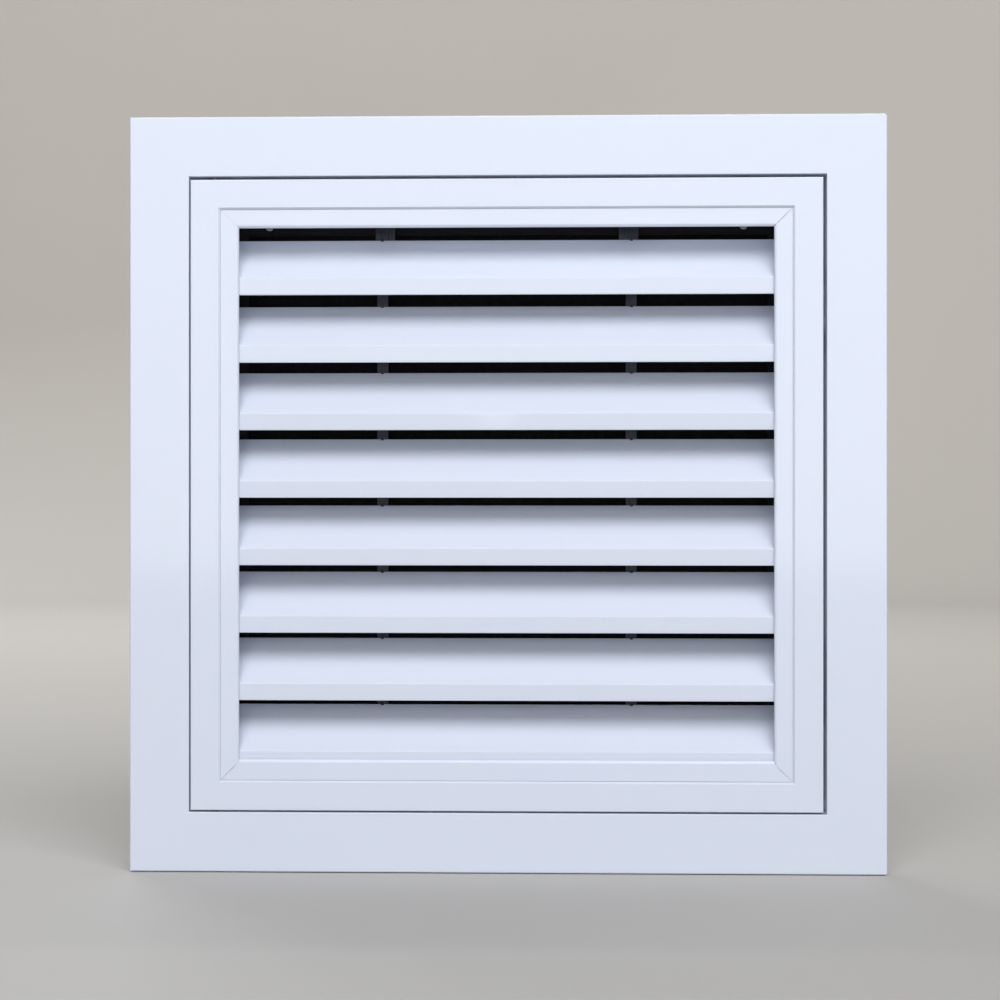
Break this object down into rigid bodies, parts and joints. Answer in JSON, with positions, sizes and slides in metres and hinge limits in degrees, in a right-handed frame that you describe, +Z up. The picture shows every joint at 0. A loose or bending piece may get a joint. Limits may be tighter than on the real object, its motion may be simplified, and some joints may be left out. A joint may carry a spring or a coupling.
{
  "type": "louvred air grille",
  "caption": "Square louvred wall air grille: outer frame with a duct neck, and a hinged door with a core of fixed sloping blades, magnetic catches and a removable mesh filter.",
  "frame": {"origin": "middle of the duct neck on the plane of the wall, which is the back edge of the flange's lip", "axes": "+X to the right and +Z up as seen from the room, +Y into the wall along the neck"},
  "size_m": [0.38, 0.048, 0.38],
  "materials": {
    "white_coating": "gloss white powder coat on aluminium",
    "support_strip": "dull mill-finish strip",
    "corner_key_zinc": "die cast, dull",
    "plated_steel": "zinc plated",
    "rivet_metal": "coated aluminium rivet",
    "screw_steel": "zinc plated",
    "bush_nylon": "moulded nylon",
    "catch_plastic": "moulded plastic",
    "magnet_ferrite": "sintered ferrite",
    "filter_channel": "extruded black PVC",
    "filter_net": "woven nylon mesh",
    "insert_plastic": "moulded plastic",
    "turn_clip_nylon": "moulded nylon"
  },
  "bodies": {
    "outer_frame": {"catch_housing_lower": "catch_plastic", "catch_housing_upper": "catch_plastic", "catch_magnets": "magnet_ferrite", "catch_pole_plates": "plated_steel", "catch_screws": "screw_steel", "hinge_pin_bottom": "screw_steel", "hinge_pin_top": "screw_steel", "outer_corner_keys": "corner_key_zinc", "outer_frame_bottom": "white_coating", "outer_frame_left": "white_coating", "outer_frame_right": "white_coating", "outer_frame_top": "white_coating"},
    "door": {"blade_screws_left": "screw_steel", "blade_screws_right": "screw_steel", "blade_support_left": "support_strip", "blade_support_right": "support_strip", "core_clip_screws": "screw_steel", "core_clips": "plated_steel", "core_corner_plates": "plated_steel", "core_corner_rivets": "rivet_metal", "core_frame_bottom": "white_coating", "core_frame_left": "white_coating", "core_frame_right": "white_coating", "core_frame_top": "white_coating", "core_screws": "screw_steel", "core_spacers": "insert_plastic", "door_corner_key_bottom_left": "corner_key_zinc", "door_corner_key_bottom_right": "corner_key_zinc", "door_corner_key_top_left": "corner_key_zinc", "door_corner_key_top_right": "corner_key_zinc", "door_frame_bottom": "white_coating", "door_frame_left": "white_coating", "door_frame_right": "white_coating", "door_frame_top": "white_coating", "filter_clip_pivots": "rivet_metal", "filter_corner_inserts": "insert_plastic", "filter_frame_bottom": "filter_channel", "filter_frame_left": "filter_channel", "filter_frame_right": "filter_channel", "filter_frame_top": "filter_channel", "filter_mesh": "filter_net", "hinge_bush_bottom": "bush_nylon", "hinge_bush_top": "bush_nylon", "louvre_blade_1": "white_coating", "louvre_blade_2": "white_coating", "louvre_blade_3": "white_coating", "louvre_blade_4": "white_coating", "louvre_blade_5": "white_coating", "louvre_blade_6": "white_coating", "louvre_blade_7": "white_coating", "louvre_blade_8": "white_coating", "striker_plate_lower": "plated_steel", "striker_plate_upper": "plated_steel", "striker_rivets": "rivet_metal", "support_rivets": "rivet_metal"},
    "turn_clip_top_left": {"filter_clip_top_left": "turn_clip_nylon"},
    "turn_clip_top_right": {"filter_clip_top_right": "turn_clip_nylon"},
    "turn_clip_bottom_left": {"filter_clip_bottom_left": "turn_clip_nylon"},
    "turn_clip_bottom_right": {"filter_clip_bottom_right": "turn_clip_nylon"}
  },
  "joints": [
    {"name": "door_hinge", "type": "hinge", "parent": "outer_frame", "child": "door", "pos_m": [-0.14725, -0.004, 0], "axis": [0, 0, -1], "range_deg": [0, 120]},
    {"name": "turn_clip_top_left_turn", "type": "hinge", "parent": "door", "child": "turn_clip_top_left", "pos_m": [-0.0705, 0.029, 0.14445], "axis": [0, 1, 0], "range_deg": [0, 90]},
    {"name": "turn_clip_top_right_turn", "type": "hinge", "parent": "door", "child": "turn_clip_top_right", "pos_m": [0.0695, 0.029, 0.14445], "axis": [0, -1, 0], "range_deg": [0, 90]},
    {"name": "turn_clip_bottom_left_turn", "type": "hinge", "parent": "door", "child": "turn_clip_bottom_left", "pos_m": [-0.0705, 0.029, -0.14515], "axis": [0, -1, 0], "range_deg": [0, 90]},
    {"name": "turn_clip_bottom_right_turn", "type": "hinge", "parent": "door", "child": "turn_clip_bottom_right", "pos_m": [0.0695, 0.029, -0.14515], "axis": [0, 1, 0], "range_deg": [0, 90]}
  ]
}
